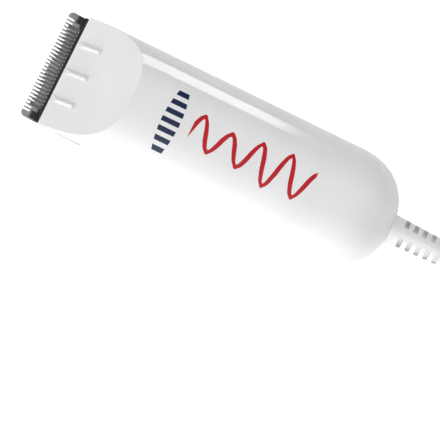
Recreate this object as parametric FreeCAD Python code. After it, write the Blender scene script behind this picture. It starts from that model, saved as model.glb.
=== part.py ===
import FreeCAD, Part

import math
import os

from FreeCAD import Vector

# A small corded hair clipper lying on its underside, in millimetres.
# +X runs from the blade to the cord, +Z is up, and the origin is under the middle of the clipper.

# Housing
HOUSING_LENGTH = 107.6
HOUSING_WIDTH = 35.0
HOUSING_HEIGHT = 29.0
SECTION_POWER = 3.0
DOME_LENGTH = 17.6
DOME_POWER = 2.2
DOME_END_SHARE = 0.975
WALL = 1.8
FLAT_DEPTH = 0.3
FACET_ANGLE = 33.0
FACET_WALL = 2.8
LIP_SETBACK = 0.65
LIP_ABOVE_PARTING = 0.1
RAIL_HALF_WIDTH = 0.95
RAIL_HEIGHT = 1.1
RAIL_CREST = 0.25
RAIL_FLANK_ANGLE = 43.0
RAIL_FRONT = 0.4
RAIL_LENGTH = 8.8
RAIL_SPACING = 8.9
RAIL_NOSE_ANGLE = 20.0
RAIL_SUNK = 1.2

# Blade set, in its own tilted frame: x back from the lip, z away from the skin side
BLADE_TILT = 18.0
BLADE_HEIGHT = 9.0
FIXED_HALF_WIDTH = 17.2
FIXED_TIP = -6.1
FIXED_REAR = 16.2
FIXED_THICKNESS = 1.2
FIXED_BEVEL = 0.55
FIXED_BEVEL_REACH = 2.6
END_TOOTH_ROUNDING = 1.4
REAR_ROUNDING = 2.5
FIXED_TEETH = 27
FIXED_PITCH = 1.11
FIXED_ROOT = -4.0
MOVING_HALF_WIDTH = 13.4
MOVING_TIP = -4.9
MOVING_REAR = 4.5
MOVING_THICKNESS = 1.2
MOVING_TEETH = 21
MOVING_PITCH = 1.2
MOVING_ROOT = -1.7
MOVING_BEVEL_REAR = 0.8
MOVING_EDGE = 0.4
ROOT_RELIEF = 0.4
SLOT_WIDTH = 0.52
STROKE = 1.0
SLIDE_GAP = 0.02
GUIDE_FRONT = -1.35
GUIDE_BRIDGE_REAR = 1.9
GUIDE_REAR = 5.3
GUIDE_TOP = 3.2
EAR_WIDTH = 2.3
EAR_LENGTH = 1.9
EAR_GAP = 0.2
SPRING_THICKNESS = 0.4
SPRING_PRONG_AT = 6.5
SPRING_PRONG_WIDTH = 3.0
SPRING_FOOT_LENGTH = 1.2
SPRING_BAR_REAR = 15.4
SPRING_BAR_LENGTH = 7.0
SPRING_PAST_SCREW = 2.0
BLADE_SCREW_X = 11.0
BLADE_SCREW_Y = 12.0
BLADE_SCREW_R = 1.2
BLADE_SCREW_HEAD_R = 2.4
BLADE_SCREW_LENGTH = 6.0
BLADE_SCREW_HEAD_HEIGHT = 0.9
BLADE_SCREW_EDGE = 0.4

# Drive fork and eccentric
FORK_FRONT = 24.5
FORK_THICKNESS = 2.5
FORK_SIDE = 2.4
FORK_ARM_HALF_WIDTH = 3.0
FORK_ARM_BOTTOM = 11.0
FORK_ARM_HEIGHT = 1.6
FORK_ARM_FRONT = 4.0
FORK_FOOT_LENGTH = 2.1
FORK_TINE_RISE = 3.5
THROW = 1.0
CAM_PIN_R = 1.2
CAM_R = 4.5
CAM_LENGTH = 4.0
CAM_TO_FORK = 2.0
CAM_WEB = 1.0
PLAY = 0.3

# Motor
MOTOR_FRONT = 38.0
MOTOR_R = 11.5
MOTOR_LENGTH = 30.0
CAN_WALL = 0.8
BEARING_R = 2.5
BEARING_LENGTH = 3.0
SHAFT_R = 1.0
RUNNING_CLEARANCE = 0.03
MAGNET_THICKNESS = 2.1
MAGNET_LENGTH = 22.4
MAGNET_GAP = 8.0
AIR_GAP = 0.4
CORE_LENGTH = 16.0
CORE_SLOTS = 3
CORE_LIP = 1.3
CORE_SLOT_HALF = 3.4
SLOT_BOTTOM_R = 3.2
SLOT_MOUTH_HALF = 0.7
WINDING_OVERHANG = 2.5
COMMUTATOR_R = 3.0
COMMUTATOR_LENGTH = 3.6
COMMUTATOR_GAP = 0.4
COMMUTATOR_BAR_DEPTH = 1.1
BRUSH_WIDTH = 3.2
BRUSH_LENGTH = 2.9
BRUSH_HALF_HEIGHT = 1.2
BRUSH_GAP = 0.1
END_CAP_LENGTH = 3.0
TERMINAL_LENGTH = 3.5
TERMINAL_Y = 6.8
TERMINAL_THICKNESS = 0.5
RIB_THICKNESS = 2.0
RIB_INSET = 3.0

# Electrics
BOARD_FRONT = 77.0
BOARD_LENGTH = 16.0
BOARD_HALF_WIDTH = 10.0
BOARD_THICKNESS = 1.6
BOARD_BOTTOM = 17.0
BOARD_POST_R = 1.6
BOARD_POST_PLACES = (6.0, 14.2)
DIODE_R = 1.1
DIODE_LENGTH = 4.6
DIODE_PITCH = 2.6
DIODE_REACH = 3.3
DIODE_LEAD_R = 0.3
DIODE_FOOT = 0.8
COIL_INSET = 2.0
COIL_LENGTH = 10.0
COIL_Y = 6.8
CAPACITOR_R = 2.6
CHOKE_FLANGE_R = 2.8
CHOKE_FLANGE = 1.2
CHOKE_WINDING_DEPTH = 0.6
SWITCH_LENGTH = 13.0
SWITCH_HALF_WIDTH = 4.0
SWITCH_HEIGHT = 8.0
SWITCH_TRAVEL = 4.0
STEM_LENGTH = 3.0
STEM_HALF_WIDTH = 1.6
STEM_ENTRY = 2.0
SWITCH_CLEARANCE = 0.1
BUTTON_LENGTH = 5.0
BUTTON_HALF_WIDTH = 3.2
BUTTON_FLOOR_GAP = 0.4
BUTTON_PLATE = 1.2
BUTTON_PLATE_MARGIN = 1.4
THUMB_RECESS = 0.7
THUMB_RECESS_MARGIN = 2.0
BUTTON_RIB_PITCH = 1.5
BUTTON_RIB_DEPTH = 0.4

# Housing screws
SCREW_PLACES = [(32.0, 11.5), (97.6, 8.7)]
SCREW_R = 1.1
SCREW_HEAD_R = 2.0
SCREW_HEAD_HEIGHT = 1.4
SCREW_HEAD_DEPTH = 3.4
SCREW_LENGTH = 14.0
BOSS_R = 3.0

# Cord
CORD_R = 2.5
BOOT_LENGTH = 28.0
BOOT_BASE_R = 4.75
BOOT_TIP_R = 3.5
BOOT_NECK_R = 3.5
BOOT_WINDOW_LENGTH = 1.3
BOOT_WINDOW_HALF = 1.7
BOOT_WINDOW_PITCH = 2.9
BOOT_WINDOW_ROWS = 8
BOOT_CORE = 2.9
BOOT_SINK = 1.2
BOOT_FIRST_WINDOW = 3.4
BOOT_NECK_LENGTH = 5.0
BOOT_FLANGE_RIM = 1.1
BOOT_FLANGE_LENGTH = 1.6
GRIP_LENGTH = 7.0
GRIP_HALF = 4.6
GRIP_TOP = 2.6
WIRE_R = 0.7
MAINS_WIRE_Y = 2.0
HANK_FRONT = 154.0
HANK_RUN = 57.0
HANK_FOLD_R = 15.0
HANK_TURNS_WIDE = 2
HANK_LAYERS = 4
TIE_WIDTH = 7.0
TIE_FROM_PLUG = 2.0
TIE_THICKNESS = 1.0
TIE_SQUEEZE = 0.5
PLUG_LENGTH = 30.0
PLUG_HALF_WIDTH = 10.5
PLUG_HALF_HEIGHT = 5.5
PLUG_REAR_HALF_WIDTH = 5.0
PLUG_SHOULDER = 13.0
PLUG_ROUNDING = 2.0
PLUG_Y = 14.5
PLUG_FROM_FOLD = 41.6
PLUG_BLADE_LENGTH = 17.5
PLUG_BLADE_SPACING = 12.7
PLUG_BLADE_HALF_HEIGHT = 3.2
PLUG_BLADE_THICKNESS = 1.5
PLUG_BLADE_ROOT = 3.0

# Derived places
TILT_COS = math.cos(math.radians(BLADE_TILT))
TILT_SIN = math.sin(math.radians(BLADE_TILT))
TIP_REACH = FIXED_TIP * TILT_COS + FIXED_BEVEL * TILT_SIN
NOSE_X = -(HOUSING_LENGTH + TIP_REACH) / 2
PARTING_Z = HOUSING_HEIGHT / 2 - FLAT_DEPTH
MOVING_BOTTOM = FIXED_THICKNESS + SLIDE_GAP
MOVING_TOP = MOVING_BOTTOM + MOVING_THICKNESS
EAR_INNER = MOVING_HALF_WIDTH + STROKE + EAR_GAP
SWITCH_CENTRE = BOARD_FRONT + BOARD_LENGTH / 2 - 0.5
FORK_SLOT_HALF = CAM_PIN_R + THROW + STROKE + PLAY
CAM_FRONT = FORK_FRONT + FORK_THICKNESS + CAM_TO_FORK
MAGNET_OUTER_R = MOTOR_R - CAN_WALL
MAGNET_INNER_R = MAGNET_OUTER_R - MAGNET_THICKNESS
MAGNET_FRONT = MOTOR_FRONT + 3.0
CORE_R = MAGNET_INNER_R - AIR_GAP
MOTOR_REAR = MOTOR_FRONT + MOTOR_LENGTH
CORE_FRONT = MOTOR_FRONT + (MOTOR_LENGTH - CORE_LENGTH) / 2 - 1.0
COMMUTATOR_FRONT = MOTOR_REAR - COMMUTATOR_LENGTH - 0.4
BOOT_END = HOUSING_LENGTH + BOOT_LENGTH
HANK_WIDTH = HANK_TURNS_WIDE * 2 * CORD_R
HANK_INNER_R = HANK_FOLD_R - CORD_R
HANK_OUTER_R = HANK_INNER_R + HANK_WIDTH
HANK_HEIGHT = HANK_LAYERS * 2 * CORD_R
HANK_TRACK_R = HANK_OUTER_R - CORD_R
PLUG_REAR_X = HANK_FRONT + HANK_RUN - PLUG_FROM_FOLD
PLUG_Z = HANK_HEIGHT + PLUG_HALF_HEIGHT

FAR = 150.0


def box(x0, x1, y0, y1, z0, z1):
    """A box between two corners, with x counted back from the housing's front edge."""
    return Part.makeBox(x1 - x0, y1 - y0, z1 - z0, Vector(NOSE_X + x0, y0, z0))


def rod(radius, x0, x1, y=0.0, z=PARTING_Z):
    """A cylinder along X, with x counted back from the housing's front edge."""
    return Part.makeCylinder(radius, x1 - x0, Vector(NOSE_X + x0, y, z), Vector(1, 0, 0))


def post(radius, x, y, z0, z1):
    """An upright cylinder, with x counted back from the housing's front edge."""
    return Part.makeCylinder(radius, z1 - z0, Vector(NOSE_X + x, y, z0))


def tilted(shape):
    """Carries a shape from the blade set's own frame to the clipper's."""
    shape.rotate(Vector(0, 0, 0), Vector(0, 1, 0), BLADE_TILT)
    shape.translate(Vector(NOSE_X, 0, BLADE_HEIGHT))
    return shape


def blade_box(x0, x1, y0, y1, z0, z1):
    """A box in the blade set's own frame."""
    return Part.makeBox(x1 - x0, y1 - y0, z1 - z0, Vector(x0, y0, z0))


def both_sides(shape):
    """A shape and its mirror image across the clipper's middle."""
    return shape.fuse(shape.mirror(Vector(0, 0, 0), Vector(0, 1, 0)))


def joined(shapes):
    """One shape from several that touch or overlap."""
    whole = shapes[0].fuse(shapes[1:])
    return whole.removeSplitter()


def section(half_width, half_height, x, points=48):
    """A closed superellipse wire across the housing."""
    ring = []
    for i in range(points):
        angle = 2 * math.pi * i / points
        c = math.cos(angle)
        s = math.sin(angle)
        power = SECTION_POWER
        r = ((abs(c) / half_width) ** power + (abs(s) / half_height) ** power) ** (-1 / power)
        ring.append(Vector(NOSE_X + x, r * c, PARTING_Z + r * s))
    curve = Part.BSplineCurve()
    curve.interpolate(Points=ring, PeriodicFlag=True)
    return Part.Wire([curve.toShape()])


def rounded_body(inset, front):
    """The housing's rounded form: a straight barrel with a superellipse dome behind it."""
    half_width = HOUSING_WIDTH / 2 - inset
    half_height = HOUSING_HEIGHT / 2 - inset
    depth = DOME_LENGTH - inset
    barrel_end = HOUSING_LENGTH - DOME_LENGTH
    first = section(half_width, half_height, front)
    barrel = Part.Face(first).extrude(Vector(barrel_end - front, 0, 0))
    rings = []
    steps = 9
    for i in range(steps + 1):
        share = math.sin(math.asin(DOME_END_SHARE) * i / steps)
        scale = (1 - share**DOME_POWER) ** (1 / DOME_POWER)
        x = barrel_end + depth * share / DOME_END_SHARE
        rings.append(section(half_width * scale, half_height * scale, x))
    dome = Part.makeLoft(rings, True, False)
    return barrel.fuse(dome)


def on_facet(shape):
    """Carries a shape from the facet's own frame, with x up the slope, to the clipper's."""
    shape.rotate(Vector(0, 0, 0), Vector(0, 1, 0), -FACET_ANGLE)
    shape.translate(Vector(NOSE_X + LIP_SETBACK, 0, PARTING_Z + LIP_ABOVE_PARTING))
    return shape


def above_facet(depth):
    """Everything above the nose's sloping top, sunk by the given depth."""
    return on_facet(Part.makeBox(2 * FAR, 2 * FAR, FAR, Vector(-FAR, -FAR, -depth)))


def nose_block(x_end, z_low, z_high):
    """A wide block in the blade set's frame, in front of x_end and between two heights."""
    return tilted(blade_box(-FAR, x_end, -FAR, FAR, z_low, z_high))


def comb_rails():
    """Three low rails on the facet, round on one side, with a flat flank on the other and a sloping nose."""
    radius = (RAIL_HALF_WIDTH ** 2 + RAIL_HEIGHT ** 2) / (2 * RAIL_HEIGHT)
    axis_height = RAIL_HEIGHT - radius
    rails = []
    for i in (-1, 0, 1):
        start = Vector(RAIL_FRONT, i * RAIL_SPACING, axis_height)
        bar = Part.makeCylinder(radius, RAIL_LENGTH, start, Vector(1, 0, 0))
        above = Part.makeBox(FAR, FAR, FAR, Vector(-FAR / 2, -FAR / 2, 0))
        above.rotate(Vector(0, 0, 0), Vector(0, 1, 0), -RAIL_NOSE_ANGLE)
        above.translate(Vector(RAIL_FRONT, 0, 0))
        flank = Part.makeBox(FAR, FAR, FAR, Vector(-FAR / 2, 0, 0))
        flank.rotate(Vector(0, 0, 0), Vector(1, 0, 0), -RAIL_FLANK_ANGLE)
        flank.translate(Vector(0, i * RAIL_SPACING - RAIL_CREST, RAIL_HEIGHT))
        below = Part.makeBox(FAR, FAR, FAR, Vector(-FAR / 2, -FAR / 2, -RAIL_SUNK - FAR))
        rails.append(on_facet(bar.cut([above, flank, below])))
    return rails


def outer_form():
    """The housing's outside as one solid: rounded body, facet, chin and flat underside."""
    form = rounded_body(0.0, LIP_SETBACK)
    form = form.cut(above_facet(0.0))
    form = form.cut(tilted(blade_box(-FAR, FAR, -FAR, FAR, -FAR, 0.0)))
    return form.cut(box(-FAR, FAR, -FAR, FAR, -FAR, 0.0))


def cavity():
    """The hollow inside the housing."""
    form = rounded_body(WALL, 0.0)
    form = form.cut(above_facet(FACET_WALL))
    return form.cut(tilted(blade_box(-FAR, FAR, -FAR, FAR, -FAR, GUIDE_TOP)))


def motor_ribs(hollow):
    """Two saddles that hold the motor can, filling the hollow around it."""
    ribs = []
    for x in (MOTOR_FRONT + RIB_INSET, MOTOR_REAR - RIB_INSET - RIB_THICKNESS):
        slab = box(x, x + RIB_THICKNESS, -FAR, FAR, -FAR, FAR).common(hollow)
        ribs.append(slab.cut(rod(MOTOR_R, x - 1.0, x + RIB_THICKNESS + 1.0)))
    return ribs


def screw_bosses(form):
    """Upright bosses for the housing screws, trimmed to the outer form."""
    bosses = []
    for x, y in SCREW_PLACES:
        for side in (-1, 1):
            bosses.append(post(BOSS_R, x, side * y, -1.0, HOUSING_HEIGHT).common(form))
    return bosses


def screw_shapes(radius, head_radius, head_from, top):
    """The four housing screws, or the holes for them."""
    shapes = []
    for x, y in SCREW_PLACES:
        for side in (-1, 1):
            shank = post(radius, x, side * y, SCREW_HEAD_DEPTH, top)
            head = post(head_radius, x, side * y, head_from, SCREW_HEAD_DEPTH + SCREW_HEAD_HEIGHT)
            shapes.append(shank.fuse(head))
    return shapes


def button_opening():
    """The slot that the switch button shows through, with a shallow thumb recess round it."""
    end = SWITCH_CENTRE + SWITCH_TRAVEL / 2 + BUTTON_LENGTH / 2 + PLAY
    start = SWITCH_CENTRE - SWITCH_TRAVEL / 2 - BUTTON_LENGTH / 2 - PLAY
    half = BUTTON_HALF_WIDTH + PLAY
    slot = box(start, end, -half, half, -1.0, BUTTON_FLOOR_GAP + 2 * WALL)
    rim = THUMB_RECESS_MARGIN
    recess = box(start - rim, end + rim, -half - rim, half + rim, -1.0, THUMB_RECESS)
    return slot.fuse(recess)


def housing():
    """The upper and lower shells, parted at mid height and stepped down at the nose."""
    form = outer_form()
    hollow = cavity()
    shell = form.cut(hollow)
    shell = shell.fuse(motor_ribs(hollow) + screw_bosses(form))
    shell = shell.cut(rod(BOOT_NECK_R, HOUSING_LENGTH - 3 * WALL, HOUSING_LENGTH + 5.0))
    screw_holes = screw_shapes(SCREW_R, SCREW_HEAD_R, -1.0, SCREW_HEAD_DEPTH + SCREW_LENGTH)
    shell = shell.cut(Part.Compound(screw_holes))
    below = box(-FAR, FAR, -FAR, FAR, -FAR, PARTING_Z)
    ahead = nose_block(GUIDE_REAR, -FAR, FAR)
    lower = shell.common(below).cut(ahead)
    lower = lower.cut(nose_block(FIXED_REAR + 0.1, -FAR, FIXED_THICKNESS))
    lower = lower.fuse(board_posts() + blade_bosses())
    lower = lower.cut(button_opening())
    lower = lower.cut(tilted(Part.Compound(blade_screw_shapes())))
    lip = shell.common(below).common(ahead).common(nose_block(GUIDE_REAR, GUIDE_TOP, FAR))
    upper = shell.cut(below).fuse(lip)
    upper = joined([upper] + comb_rails())
    return upper.removeSplitter(), lower.removeSplitter(), form


def board_posts():
    """Four posts that the circuit board stands on."""
    posts = []
    for x in BOARD_POST_PLACES:
        for side in (-1, 1):
            y = side * (BOARD_HALF_WIDTH - BOARD_POST_R)
            posts.append(post(BOARD_POST_R, BOARD_FRONT + x, y, WALL, BOARD_BOTTOM))
    return posts


def blade_bosses():
    """Two bosses on the chin that the blade screws thread into."""
    bosses = []
    for side in (-1, 1):
        boss = Part.makeCylinder(
            BLADE_SCREW_HEAD_R,
            BLADE_SCREW_LENGTH - FIXED_THICKNESS + 1.0,
            Vector(BLADE_SCREW_X, side * BLADE_SCREW_Y, FIXED_THICKNESS),
        )
        bosses.append(tilted(boss))
    return bosses


def blade_screw_shapes():
    """The two blade screws in the blade set's frame, with pan heads on the skin side."""
    screws = []
    for side in (-1, 1):
        y = side * BLADE_SCREW_Y
        shank = Part.makeCylinder(BLADE_SCREW_R, BLADE_SCREW_LENGTH, Vector(BLADE_SCREW_X, y, 0))
        place = Vector(BLADE_SCREW_X, y, -BLADE_SCREW_HEAD_HEIGHT)
        head = Part.makeCylinder(BLADE_SCREW_HEAD_R, BLADE_SCREW_HEAD_HEIGHT, place)
        head = head.makeFillet(BLADE_SCREW_EDGE, [head.Edges[2]])
        screws.append(shank.fuse(head))
    return screws


def tooth_slots(count, pitch, tip, root, z0, z1):
    """Tapered slots between teeth: narrow at the root and wider at the tips."""
    slots = []
    for i in range(count):
        y = (i - (count - 1) / 2) * pitch
        narrow = SLOT_WIDTH / 2
        wide = narrow * 1.5
        corners = [
            Vector(root, y - narrow, z0),
            Vector(tip - 1.0, y - wide, z0),
            Vector(tip - 1.0, y + wide, z0),
            Vector(root, y + narrow, z0),
        ]
        outline = Part.makePolygon(corners + corners[:1])
        slots.append(Part.Face(outline).extrude(Vector(0, 0, z1 - z0)))
        slots.append(Part.makeCylinder(narrow, z1 - z0, Vector(root, y, z0)))
    return Part.Compound(slots)


def wedge(points, y0, y1):
    """A prism across the blade from an outline in the plane of X and Z."""
    corners = [Vector(x, y0, z) for x, z in points]
    return Part.Face(Part.makePolygon(corners + corners[:1])).extrude(Vector(0, y1 - y0, 0))


def fixed_blade():
    """The still blade: fine teeth between two wide end teeth, bevelled on the skin side."""
    half = FIXED_HALF_WIDTH
    plate = blade_box(FIXED_TIP, FIXED_REAR, -half, half, 0, FIXED_THICKNESS)
    front_corners = [e for e in plate.Edges if e.Length < 2 * FIXED_THICKNESS and e.BoundBox.XMax < 0]
    plate = plate.makeFillet(END_TOOTH_ROUNDING, front_corners)
    rear_corners = [e for e in plate.Edges if e.Length < 2 * FIXED_THICKNESS and e.BoundBox.XMin > 0]
    plate = plate.makeFillet(REAR_ROUNDING, rear_corners)
    ahead = FIXED_TIP - 1.0
    outline = [(ahead, -0.1), (FIXED_TIP + FIXED_BEVEL_REACH, 0)]
    outline += [(FIXED_TIP, FIXED_BEVEL), (ahead, FIXED_BEVEL)]
    plate = plate.cut(wedge(outline, -FAR, FAR))
    slots = tooth_slots(FIXED_TEETH + 1, FIXED_PITCH, FIXED_TIP, FIXED_ROOT, -1, FIXED_THICKNESS + 1)
    plate = plate.cut(slots)
    for side in (-1, 1):
        hole = Part.makeCylinder(BLADE_SCREW_R, 4, Vector(BLADE_SCREW_X, side * BLADE_SCREW_Y, -1))
        plate = plate.cut(hole)
    return tilted(plate)


def moving_blade():
    """The cutter that slides on the still blade: bevelled teeth, and slots countersunk at the root."""
    half = MOVING_HALF_WIDTH
    plate = blade_box(MOVING_TIP, MOVING_REAR, -half, half, MOVING_BOTTOM, MOVING_TOP)
    ahead = MOVING_TIP - 1.0
    bevel_rear = MOVING_ROOT + MOVING_BEVEL_REAR
    above = MOVING_TOP + 1.0
    edge = MOVING_BOTTOM + MOVING_EDGE
    outline = [(ahead, above), (bevel_rear, above), (bevel_rear, MOVING_TOP)]
    outline += [(MOVING_TIP, edge), (ahead, edge)]
    plate = plate.cut(wedge(outline, -FAR, FAR))
    slots = tooth_slots(MOVING_TEETH, MOVING_PITCH, MOVING_TIP, MOVING_ROOT, MOVING_BOTTOM - 1, above)
    narrow = SLOT_WIDTH / 2
    reliefs = []
    for i in range(MOVING_TEETH):
        foot = Vector(MOVING_ROOT, (i - (MOVING_TEETH - 1) / 2) * MOVING_PITCH, MOVING_TOP - ROOT_RELIEF)
        reliefs.append(Part.makeCone(narrow, narrow + ROOT_RELIEF, ROOT_RELIEF, foot))
    return tilted(plate.cut(slots).cut(Part.Compound(reliefs)))


def blade_guide(form):
    """The black guide: a bridge over the cutter, a block at each side and an ear in front of each."""
    block = form.common(tilted(blade_box(-0.5, GUIDE_REAR, -FAR, FAR, FIXED_THICKNESS, GUIDE_TOP)))
    half = block.BoundBox.YMax
    front = tilted(blade_box(GUIDE_FRONT, 1.0, -half + 0.3, half - 0.3, FIXED_THICKNESS, GUIDE_TOP))
    ear_front = GUIDE_FRONT - EAR_LENGTH
    ear_outer = EAR_INNER + EAR_WIDTH
    ear = tilted(blade_box(ear_front, 0, EAR_INNER, ear_outer, FIXED_THICKNESS, MOVING_TOP))
    window = tilted(blade_box(GUIDE_BRIDGE_REAR, FAR, -EAR_INNER, EAR_INNER, 0, FAR))
    under = tilted(blade_box(-FAR, FAR, -EAR_INNER, EAR_INNER, 0, MOVING_TOP + SLIDE_GAP))
    whole = joined([block, front, both_sides(ear)])
    return whole.cut(window).cut(under)


def tension_spring():
    """The leaf spring that holds the cutter on the still blade."""
    top = MOVING_TOP + SLIDE_GAP
    t = SPRING_THICKNESS
    rest = GUIDE_TOP
    step = GUIDE_REAR - 0.1
    foot_rear = MOVING_REAR - 0.2
    foot_front = foot_rear - SPRING_FOOT_LENGTH
    lower_edge = [(SPRING_BAR_REAR - 1.0, rest), (step, rest), (foot_rear, top), (foot_front, top)]
    upper_edge = [(foot_front, top + t), (foot_rear - 0.1, top + t), (step - 0.1, rest + t),
                  (SPRING_BAR_REAR - 1.0, rest + t)]
    inner = SPRING_PRONG_AT - SPRING_PRONG_WIDTH / 2
    prong = wedge(lower_edge + upper_edge, inner, inner + SPRING_PRONG_WIDTH)
    half = BLADE_SCREW_Y + SPRING_PAST_SCREW
    bar = blade_box(SPRING_BAR_REAR - SPRING_BAR_LENGTH, SPRING_BAR_REAR, -half, half, rest, rest + t)
    spring = joined([bar, both_sides(prong)])
    for side in (-1, 1):
        place = Vector(BLADE_SCREW_X, side * BLADE_SCREW_Y, 0)
        spring = spring.cut(Part.makeCylinder(BLADE_SCREW_HEAD_R, FAR, place))
    return tilted(spring)


def drive_fork():
    """The fork that stands on the cutter and takes the eccentric's swing."""
    half = FORK_ARM_HALF_WIDTH
    foot_front = MOVING_REAR - FORK_FOOT_LENGTH
    foot = tilted(blade_box(foot_front, MOVING_REAR, -half, half, MOVING_TOP, MOVING_TOP + FORK_ARM_HEIGHT))
    arm_top = FORK_ARM_BOTTOM + FORK_ARM_HEIGHT
    arm = box(FORK_ARM_FRONT, FORK_FRONT + 0.5, -half, half, FORK_ARM_BOTTOM, arm_top)
    outer = FORK_SLOT_HALF + FORK_SIDE
    rear = FORK_FRONT + FORK_THICKNESS
    slot_bottom = PARTING_Z - THROW - CAM_PIN_R - PLAY
    fork = box(FORK_FRONT, rear, -outer, outer, slot_bottom - FORK_SIDE, PARTING_Z + FORK_TINE_RISE)
    gap = box(FORK_FRONT - 1, rear + 1, -FORK_SLOT_HALF, FORK_SLOT_HALF, slot_bottom, FAR)
    return joined([foot, arm, fork]).cut(gap.cut(arm))


def eccentric_cam():
    """The eccentric on the motor shaft, with its drive pin towards the fork."""
    disc = rod(CAM_R, CAM_FRONT, CAM_FRONT + CAM_LENGTH)
    pin = rod(CAM_PIN_R, FORK_FRONT + 0.7, CAM_FRONT + 0.5, z=PARTING_Z - THROW)
    bore = rod(SHAFT_R, CAM_FRONT + CAM_WEB, CAM_FRONT + CAM_LENGTH + 1.0)
    return joined([disc, pin]).cut(bore)


def turned(shape, i):
    """A shape turned about the motor's axis to its place in the ring of CORE_SLOTS."""
    shape.rotate(Vector(0, 0, PARTING_Z), Vector(1, 0, 0), i * 360 / CORE_SLOTS)
    return shape


def motor_case():
    """The motor's can, end cap, two bearings and two magnets."""
    boss_front = MOTOR_FRONT - BEARING_LENGTH + CAN_WALL + 0.2
    boss = rod(BEARING_R + CAN_WALL + 0.4, boss_front, MOTOR_FRONT + CAN_WALL)
    can = rod(MOTOR_R, MOTOR_FRONT, MOTOR_REAR).fuse(boss)
    can = can.cut(rod(MAGNET_OUTER_R, MOTOR_FRONT + CAN_WALL, MOTOR_REAR + 1.0))
    can = can.cut(rod(BEARING_R, boss_front - 1.0, MOTOR_FRONT + BEARING_LENGTH)).removeSplitter()
    shaft_hole = rod(SHAFT_R + RUNNING_CLEARANCE, boss_front - 1, MOTOR_REAR + 2 * END_CAP_LENGTH)
    front_bearing = rod(BEARING_R, boss_front, boss_front + BEARING_LENGTH).cut(shaft_hole)
    cap = rod(MOTOR_R, MOTOR_REAR, MOTOR_REAR + END_CAP_LENGTH)
    cap = cap.cut(rod(BEARING_R, MOTOR_REAR - 1.0, MOTOR_REAR + END_CAP_LENGTH + 1.0))
    rear_bearing = rod(BEARING_R, MOTOR_REAR, MOTOR_REAR + END_CAP_LENGTH).cut(shaft_hole)
    ring = rod(MAGNET_OUTER_R, MAGNET_FRONT, MAGNET_FRONT + MAGNET_LENGTH)
    ring = ring.cut(rod(MAGNET_INNER_R, MOTOR_FRONT, MOTOR_REAR))
    half_gap = MAGNET_GAP / 2
    magnets = ring.cut(box(0, FAR, -FAR, FAR, PARTING_Z - half_gap, PARTING_Z + half_gap))
    return {
        "motor_can": can,
        "motor_front_bearing": front_bearing,
        "motor_end_cap": cap,
        "motor_rear_bearing": rear_bearing,
        "motor_magnets": magnets,
    }


def armature():
    """The motor's shaft with its core, windings and commutator, and the brushes and terminals."""
    shaft = rod(SHAFT_R, CAM_FRONT + CAM_WEB, MOTOR_REAR + END_CAP_LENGTH - 0.5)
    core = rod(CORE_R, CORE_FRONT, CORE_FRONT + CORE_LENGTH)
    slot_bottom = PARTING_Z + SLOT_BOTTOM_R
    slot_top = PARTING_Z + CORE_R - CORE_LIP
    start = CORE_FRONT - 1
    end = CORE_FRONT + CORE_LENGTH + 1
    fills = []
    for i in range(CORE_SLOTS):
        fill = box(start, end, -CORE_SLOT_HALF, CORE_SLOT_HALF, slot_bottom, slot_top)
        mouth = box(start, end, -SLOT_MOUTH_HALF, SLOT_MOUTH_HALF, slot_bottom, PARTING_Z + CORE_R + 1)
        core = core.cut(turned(fill.fuse(mouth), i))
        fills.append(turned(fill, i))
    for x in (CORE_FRONT - WINDING_OVERHANG, CORE_FRONT + CORE_LENGTH):
        ring = rod(CORE_R - CORE_LIP, x, x + WINDING_OVERHANG)
        fills.append(ring.cut(rod(SHAFT_R + CORE_LIP, x - 1, x + WINDING_OVERHANG + 1)))
    commutator = rod(COMMUTATOR_R, COMMUTATOR_FRONT, COMMUTATOR_FRONT + COMMUTATOR_LENGTH)
    gap_bottom = PARTING_Z + COMMUTATOR_R - COMMUTATOR_BAR_DEPTH
    for i in range(CORE_SLOTS):
        half = COMMUTATOR_GAP / 2
        gap = box(COMMUTATOR_FRONT - 1, MOTOR_REAR, -half, half, gap_bottom, PARTING_Z + COMMUTATOR_R + 1)
        commutator = commutator.cut(turned(gap, i))
    brush_inner = COMMUTATOR_R + BRUSH_GAP
    low = PARTING_Z - BRUSH_HALF_HEIGHT
    high = PARTING_Z + BRUSH_HALF_HEIGHT
    brush = box(MOTOR_REAR - BRUSH_WIDTH, MOTOR_REAR, brush_inner, brush_inner + BRUSH_LENGTH, low, high)
    tab_start = MOTOR_REAR + END_CAP_LENGTH
    tab_end = tab_start + TERMINAL_LENGTH
    tab = box(tab_start, tab_end, TERMINAL_Y, TERMINAL_Y + TERMINAL_THICKNESS, low, high)
    return {
        "motor_shaft": shaft,
        "armature_core": core.cut(shaft),
        "armature_windings": joined(fills),
        "commutator": commutator.cut(shaft),
        "motor_brushes": both_sides(brush),
        "motor_terminals": both_sides(tab),
    }


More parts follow.
